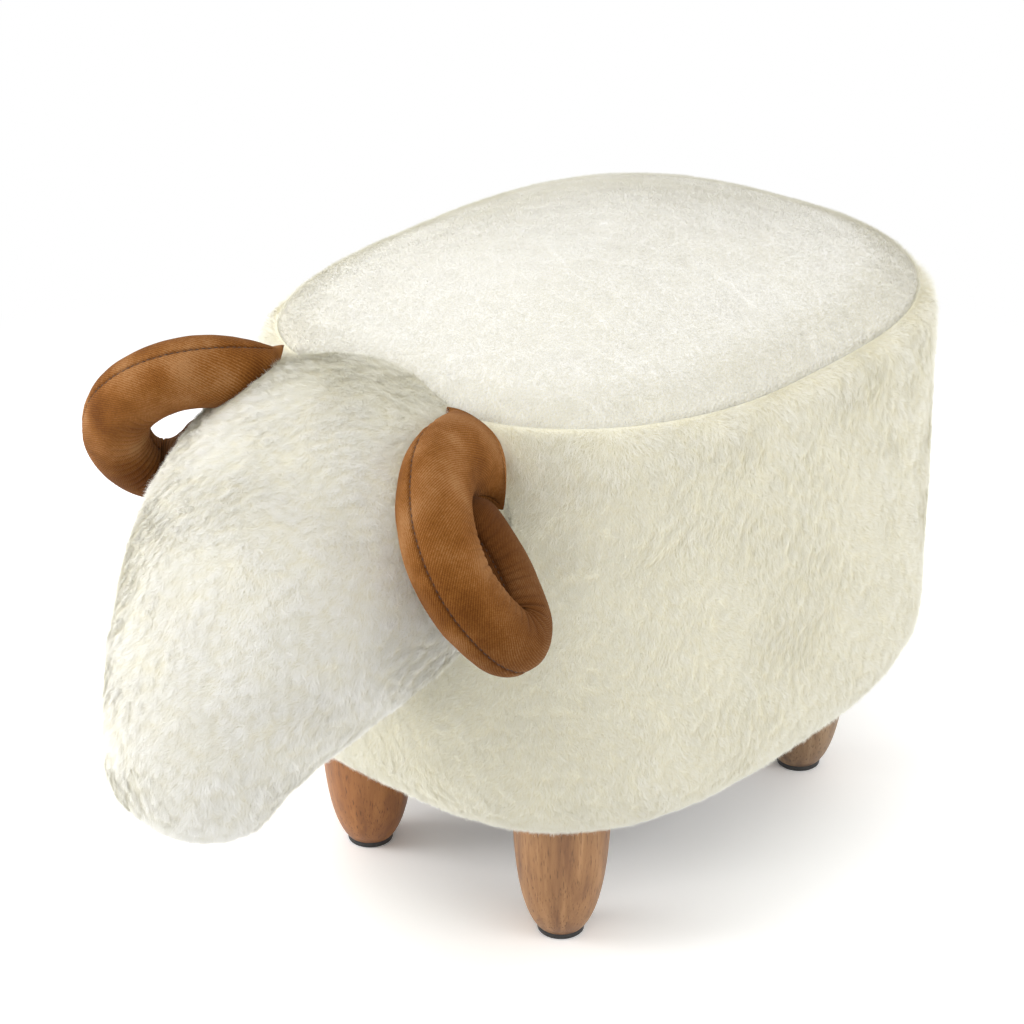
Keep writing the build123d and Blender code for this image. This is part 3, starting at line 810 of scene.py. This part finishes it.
def pile_material():
    """Cream acrylic fibre, clean and paler at the tip. The root is painted warmer and darker as shade
    deep in the pile, and the warm ramp, chosen by low tones, carries painted shade too.
    """
    material, tree, shader = new_material("cream_pile", 0.8, Sheen_Weight=0.15, Sheen_Roughness=0.5,
                                          Specular_IOR_Level=0.2)
    uv = add_node(tree, "UVMap", uv_map="OFBake").outputs[0]
    parts = add_node(tree, "SeparateXYZ", [(0, uv)]).outputs
    # painted shade: both ramps are darker and warmer at the root, and low tones take the warm ramp
    warm_and_shaded = colour_steps(tree, parts["Y"], (0.0, 0.82, 0.765, 0.57), (0.4, 0.865, 0.84, 0.71),
                        (1.0, 0.885, 0.875, 0.775))
    clean = colour_steps(tree, parts["Y"], (0.0, 0.93, 0.90, 0.79), (0.4, 0.95, 0.94, 0.89),
                         (1.0, 0.96, 0.958, 0.94))
    feed(tree, shader.inputs, Base_Color=mixed(tree, parts["X"], warm_and_shaded, clean))
    return material


def in_body(points, margin):
    """Whether points lie deeper than a margin inside the body's backing, below its rim."""
    y = points[:, 1] - body_y
    power = np.where(y < 0, front_power, rear_power)
    spread = 1 + rear_spread * y / half_long
    rise = np.clip(points[:, 2] - rim_height, 0, rim_radius)
    inset = margin + rim_radius - np.sqrt(rim_radius ** 2 - rise ** 2)
    inset = inset + np.clip(lower_height - points[:, 2], 0, 50) ** 2 / 50
    reach = (np.abs(points[:, 0]) / ((half_wide - inset) * spread)) ** power
    return (reach + (np.abs(y) / (half_long - inset)) ** power < 1) & (points[:, 2] < body_top - margin)


def in_head(points, margin):
    """Whether points lie deeper than a margin inside the head's backing."""
    rel_y = points[:, 1:2] - head_line[:, 0]
    rel_z = points[:, 2:3] - head_line[:, 1]
    lean = head_line[:, 4]
    off = np.abs(rel_y * np.cos(lean) - rel_z * np.sin(lean))
    k = off.argmin(axis=1)
    n = np.arange(len(points))
    above = np.abs(rel_y[n, k] * np.sin(lean[k]) + rel_z[n, k] * np.cos(lean[k]))
    half = np.maximum(head_half[k] - pile_depth - margin, 1)
    beside = np.abs(points[:, 0] - head_line[k, 5])
    inside = (beside / half[:, 0]) ** head_power + (above / half[:, 1]) ** head_power < 1
    return inside & (off[n, k] < 4)


horn_crack = np.array([93.0, -112.0, 305.0])    # where the left horn's root meets its returning limb


def in_horns(points, margin):
    """Whether points lie deeper than a margin inside either horn."""
    margin = np.broadcast_to(margin, len(points))
    inside = np.zeros(len(points), bool)
    near = np.flatnonzero((points[:, 1] < 20) & (points[:, 2] > 180))
    for line in horn_lines:
        gap = (np.linalg.norm(points[near, None] - line[:, :3], axis=2) - line[:, 3]).min(axis=1)
        inside[near] |= gap < -1.0 - margin[near]
    return inside


fibres = pile_material()
share_grown = 1.0
pile_jobs = (
    # part, backing, fibres, sense and turn of the comb, length, lift, swirl, how tufted, how
    # white (the side is painted darker than the top and the head, as shade), what the fibres stay
    # out of, and how many pieces they make
    ("side", side_grid[6:-1], 640000, -1, (0, 0, 0), 6.6, 2.6, 0.6, 1, 0.24, (in_head, in_horns), 4),
    ("top", top_grid[:-1], 260000, 0, (0.3, -1, 0), 3.6, 1.1, 0.3, 0.2, 0.85, (in_head, in_horns), 2),
    ("head", head_grid, 470000, 1, (0, 0, 0), 6.6, 2.6, 0.6, 1, 0.88, (in_body, in_horns), 3))
for (part, grid, count, sense, lay, length, lift, swirl, tuft, white, keep_out,
     pieces) in pile_jobs:
    count = int(count * share_grown)
    seed = 100 + 10 * len(part)
    place, normal, along = scatter(grid, count, seed)
    outside = ~np.any([test(place, 0.0) for test in keep_out], axis=0)
    place, normal, along = place[outside], normal[outside], along[outside]
    rim_share = eased((place[:, 2] - 290) / 45) * (part == "side")
    edge_share = eased((352 - place[:, 2]) / 12) * (part == "top")
    base_share = eased((place[:, 1] + 150) / 45) * (part == "head")
    fluff = 1 + 0.3 * rim_share + 0.6 * edge_share + 0.25 * base_share      # longer by the seams
    comb = along * sense + np.array(lay)
    points, tone = grow(place, normal, comb, length * fluff, lift * fluff, swirl, tuft, seed)
    points[:, 2, 0] = np.clip(points[:, 2, 0], -shorn_half, shorn_half)
    # painted light and shade in the tone: the side paler towards its rim, where it catches the light;
    # the top panel darker at its edge, as shade in the seam's crease; the head darker at its base, as
    # shade against the body
    tone = tone + white + 0.30 * rim_share - 0.30 * edge_share - 0.50 * base_share
    pressed = in_horns(points[:, 2], -2.5)      # under a horn the pile is pressed short
    # painted shadow: the pile under and beside the horns is darker
    tone = np.clip(np.where(in_horns(place, -9.0), tone - 0.55, tone), 0.02, 0.98)
    foot = place[pressed, None]
    points[pressed] = foot + (points[pressed] - foot) * pressed_share
    beside_crack = np.linalg.norm(place - horn_crack, axis=1) < 20
    free_of_horns = ~in_horns(points.mean(axis=1), np.where(beside_crack, -6.0, -0.5))
    points, tone = points[free_of_horns], tone[free_of_horns]
    for n in range(pieces):
        pile_piece(f"pile_{part}_{n + 1}", points[n::pieces], tone[n::pieces], fibres)

# ---------------------------------------------------------------------------------------------
# Legs: turned from a brown hardwood with short dark pores, lacquered satin, each screwed up into
# the base board. The turning is the CAD model's own, so only its finish is made here.
# ---------------------------------------------------------------------------------------------


def turned_wood_group():
    """Turned hardwood: long soft streaks along the leg in three tones, and short dark pores between
    them. Where a streak is dark, the lacquer is a little glossier."""
    group, given, put = new_group(
        "turned_wood",
        {"Shift": "Vector", "Dark": "Color", "Middle": "Color", "Pale": "Color", "Pore": "Color"},
        {"Colour": "Color", "Roughness": "Float", "Normal": "Vector"})
    place = add_node(group, "TexCoord").outputs["Object"]
    along = add_node(group, "Mapping", [("Vector", place), ("Location", given["Shift"]),
                                        ("Scale", (1.0, 1.0, 0.09))]).outputs[0]
    streak = add_node(group, "TexNoise", [("Vector", along), ("Scale", 95.0), ("Detail", 6.0),
                                          ("Roughness", 0.6), ("Distortion", 0.6)]).outputs[0]
    pore = add_node(group, "TexNoise", [("Vector", along), ("Scale", 1150.0), ("Detail", 2.0)])
    pore = share_between(group, pore.outputs[0], 0.58, 0.70, most=0.8)
    colour = mixed(group, share_between(group, streak, 0.32, 0.5), given["Dark"], given["Middle"])
    colour = mixed(group, share_between(group, streak, 0.5, 0.7), colour, given["Pale"])
    rough = add_node(group, "MapRange", [(0, streak), (3, 0.34), (4, 0.54)]).outputs[0]
    feed(group, put, Colour=mixed(group, pore, colour, given["Pore"]), Roughness=rough,
         Normal=bumped(group, pore, -0.35, 0.0003))
    return group


def wood_material(name, pale, middle, dark, shift):
    """One leg's wood, in its own tones and cut from another place of the plank."""
    material, tree, shader = new_material(name, 0.42)
    tones = {"Dark": dark, "Middle": middle, "Pale": pale, "Pore": [0.6 * part for part in dark]}
    wood = add_node(tree, "Group", [("Shift", (shift, shift * 0.37, shift * 0.11)),
                                    *[(name, (*tone, 1)) for name, tone in tones.items()]],
                    node_tree=turned_wood)
    feed(tree, shader.inputs, Base_Color=wood.outputs["Colour"], Roughness=wood.outputs["Roughness"],
         Normal=wood.outputs["Normal"])
    return material


def dress(node, material):
    """The CAD node's own material slots filled with one material."""
    slots = frame["nodes"][node].data.materials
    if not slots:
        slots.append(material)
    for n in range(len(slots)):
        slots[n] = material


turned_wood = turned_wood_group()
leg_woods = {                   # pale, middle and dark tone
    "front_left": ((0.49, 0.265, 0.118), (0.35, 0.172, 0.066), (0.20, 0.084, 0.030)),
    "front_right": ((0.45, 0.19, 0.055), (0.32, 0.12, 0.028), (0.18, 0.060, 0.013)),
    "rear_left": ((0.36, 0.23, 0.125), (0.25, 0.145, 0.072), (0.14, 0.075, 0.036)),
    "rear_right": ((0.42, 0.25, 0.14), (0.30, 0.165, 0.085), (0.17, 0.085, 0.043))}
for n, (leg, tones) in enumerate(leg_woods.items(), start=1):
    dress(f"leg_{leg}", wood_material(f"leg_wood_{leg}", *tones, shift=0.31 * n))

# ---------------------------------------------------------------------------------------------
# Floor pads: thin black moulded discs, one nailed under each leg.
# ---------------------------------------------------------------------------------------------


def fine_grain_group():
    """A plain stuff's fine grain: two tones by noise, and a bump of the same noise."""
    group, given, put = new_group(
        "fine_grain", {"Dark": "Color", "Light": "Color", "Scale": "Float", "Depth": "Float"},
        {"Colour": "Color", "Normal": "Vector"})
    place = add_node(group, "TexCoord").outputs["Object"]
    grain = add_node(group, "TexNoise", [("Vector", place), ("Scale", given["Scale"]), ("Detail", 5.0),
                                         ("Roughness", 0.65)]).outputs[0]
    tone = share_between(group, grain, 0.35, 0.65)
    feed(group, put, Colour=mixed(group, tone, given["Dark"], given["Light"]),
         Normal=bumped(group, grain, 0.5, given["Depth"]))
    return group


fine_grain = fine_grain_group()


def speckled(name, dark, light, roughness, scale, depth, **sockets):
    """A plain stuff with the fine grain in its own tones, size and depth."""
    material, tree, shader = new_material(name, roughness, **sockets)
    grain = add_node(tree, "Group", [("Dark", (*dark, 1)), ("Light", (*light, 1)), ("Scale", scale),
                                     ("Depth", depth)], node_tree=fine_grain)
    feed(tree, shader.inputs, Base_Color=grain.outputs["Colour"], Normal=grain.outputs["Normal"])
    return material


pad_plastic = speckled("black_pad", (0.016, 0.016, 0.016), (0.035, 0.034, 0.033), 0.55, 900.0, 0.0001)
for leg in leg_woods:
    dress(f"foot_pad_{leg}", pad_plastic)

# ---------------------------------------------------------------------------------------------
# Bottom lining: thin black felted cloth over the base board, its hem turned in above it.
# ---------------------------------------------------------------------------------------------
dress("bottom_lining",
      speckled("black_lining", (0.012, 0.012, 0.013), (0.04, 0.04, 0.042), 0.95, 1500.0, 0.0003))
staple_inset, staple_height, staple_count = 51.0, 79.0, 64
staple_shares = np.arange(staple_count) / staple_count
staple_angles = np.interp(staple_shares, np.arange(side_columns) / side_columns, around)
staple_places = np.stack([*ring(staple_inset, staple_angles),
                          np.full(staple_count, staple_height)], axis=1)
staple_ways = unit(np.roll(staple_places, -1, axis=0) - np.roll(staple_places, 1, axis=0))
staple_steel = speckled("staple_steel", (0.42, 0.42, 0.43), (0.62, 0.62, 0.64), 0.35, 800.0, 0.0001,
                        Metallic=1.0)
staples = stitch_piece("lining_staples", staple_places, staple_ways,
                       np.tile([0, 0, -1.0], (staple_count, 1)), 10.5, 0.6, staple_steel)

# ---------------------------------------------------------------------------------------------
# Frame and filling, all inside: plywood boards and posts, hardboard wall, foam, fibre, steel.
# ---------------------------------------------------------------------------------------------
inner_stuffs = {
    "board_wood": speckled("board_wood", (0.50, 0.36, 0.21), (0.68, 0.53, 0.35), 0.7, 60.0, 0.0003),
    "hardboard": speckled("hardboard", (0.15, 0.085, 0.045), (0.26, 0.16, 0.09), 0.6, 400.0, 0.0002),
    "foam": speckled("foam", (0.70, 0.63, 0.40), (0.86, 0.80, 0.58), 0.95, 700.0, 0.0006),
    "fibre_fill": speckled("fibre_fill", (0.80, 0.80, 0.79), (0.92, 0.92, 0.91), 0.95, 250.0, 0.0010),
    "steel": speckled("steel", (0.50, 0.50, 0.50), (0.66, 0.66, 0.67), 0.35, 800.0, 0.0001,
                      Metallic=1.0)}
for part in frame["record"]["subparts"]:
    if part["material_slot"] in inner_stuffs:
        dress(part["node"], inner_stuffs[part["material_slot"]])

# ---------------------------------------------------------------------------------------------
# Studio: a white floor that keeps the soft shadow, a white surround, and large soft lamps.
# ---------------------------------------------------------------------------------------------


def seen_directly(tree):
    """1 for the camera's rays and for those in gloss or through glass, 0 for the light's own."""
    path = add_node(tree, "LightPath").outputs
    seen = path["Is Camera Ray"]
    for kind in ("Is Glossy Ray", "Is Transmission Ray"):
        seen = add_node(tree, "Math", [(0, seen), (1, path[kind])], operation="MAXIMUM").outputs[0]
    return seen


def shader_mix(tree, share, first, second):
    """Two shaders mixed by a share."""
    return add_node(tree, "MixShader", [(0, share), (1, first), (2, second)]).outputs[0]


def floor_material():
    """White floor: paler in the camera's rays, so that it reaches white where it isn't shadowed,
    and passing to the white surround further out."""
    material, tree, shader = new_material("studio_floor", 0.9, Base_Color=(0.86, 0.86, 0.86, 1),
                                          Specular_IOR_Level=0.0)
    place = add_node(tree, "TexCoord").outputs["Object"]
    gap = add_node(tree, "VectorMath", [(0, place)], operation="LENGTH").outputs["Value"]
    far = add_node(tree, "MapRange", [(0, gap), (1, 0.55), (2, 0.95)],
                   interpolation_type="SMOOTHSTEP").outputs[0]
    lit = add_node(tree, "BsdfDiffuse", [("Color", (1.26, 1.26, 1.26, 1))]).outputs[0]
    white = add_node(tree, "Emission", [("Color", (1, 1, 1, 1)), ("Strength", 1.0)]).outputs[0]
    seen = shader_mix(tree, seen_directly(tree), shader.outputs[0], shader_mix(tree, far, lit, white))
    feed(tree, tree.nodes["Material Output"].inputs, Surface=seen)
    return material


floor_reach, floor_sides = 1300, 64
corner = np.arange(floor_sides)
floor_rim = floor_reach * np.stack([np.cos(corner / floor_sides * 2 * np.pi),
                                    np.sin(corner / floor_sides * 2 * np.pi), 0 * corner], axis=1)
floor_points = np.concatenate((floor_rim, [[0, 0, 0]])) - [0, 0, 0.05]
floor_fan = np.stack([corner, (corner + 1) % floor_sides, 0 * corner + floor_sides], axis=1)
floor = make_piece("floor", floor_points, no_quads, floor_fan, no_quad_uv,
                   np.zeros((floor_sides, 3, 2)), floor_material())
floor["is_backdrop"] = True

world = bpy.data.worlds.new("surround")
bpy.context.scene.world = world
world.use_nodes = True
tree = world.node_tree
fill = tree.nodes["Background"]
fill.inputs["Color"].default_value = (1.0, 1.0, 1.0, 1)
fill.inputs["Strength"].default_value = 0.87
white = add_node(tree, "Background", [("Color", (1, 1, 1, 1)), ("Strength", 1.0)]).outputs[0]
surround = shader_mix(tree, seen_directly(tree), fill.outputs[0], white)
feed(tree, tree.nodes["World Output"].inputs, Surface=surround)


def lamp(name, place, target, size, power):
    """A square soft lamp, in millimetres, aimed at a point."""
    data = bpy.data.lights.new(name, "AREA")
    data.size, data.energy = size * mm, power
    back = unit(np.subtract(place, target))
    right = unit(np.cross([0, 0, 1.0], back))
    put_object(name, data, (right, np.cross(back, right), back), place)


lamp("key", (-500, -1100, 2200), (0, -60, 200), 1300, 14)
lamp("left", (-1100, -1000, 450), (-40, -200, 220), 700, 13)
lamp("right", (1500, 350, 900), (100, 100, 200), 900, 7)

bpy.context.scene.view_settings.view_transform = "Standard"

low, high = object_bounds()
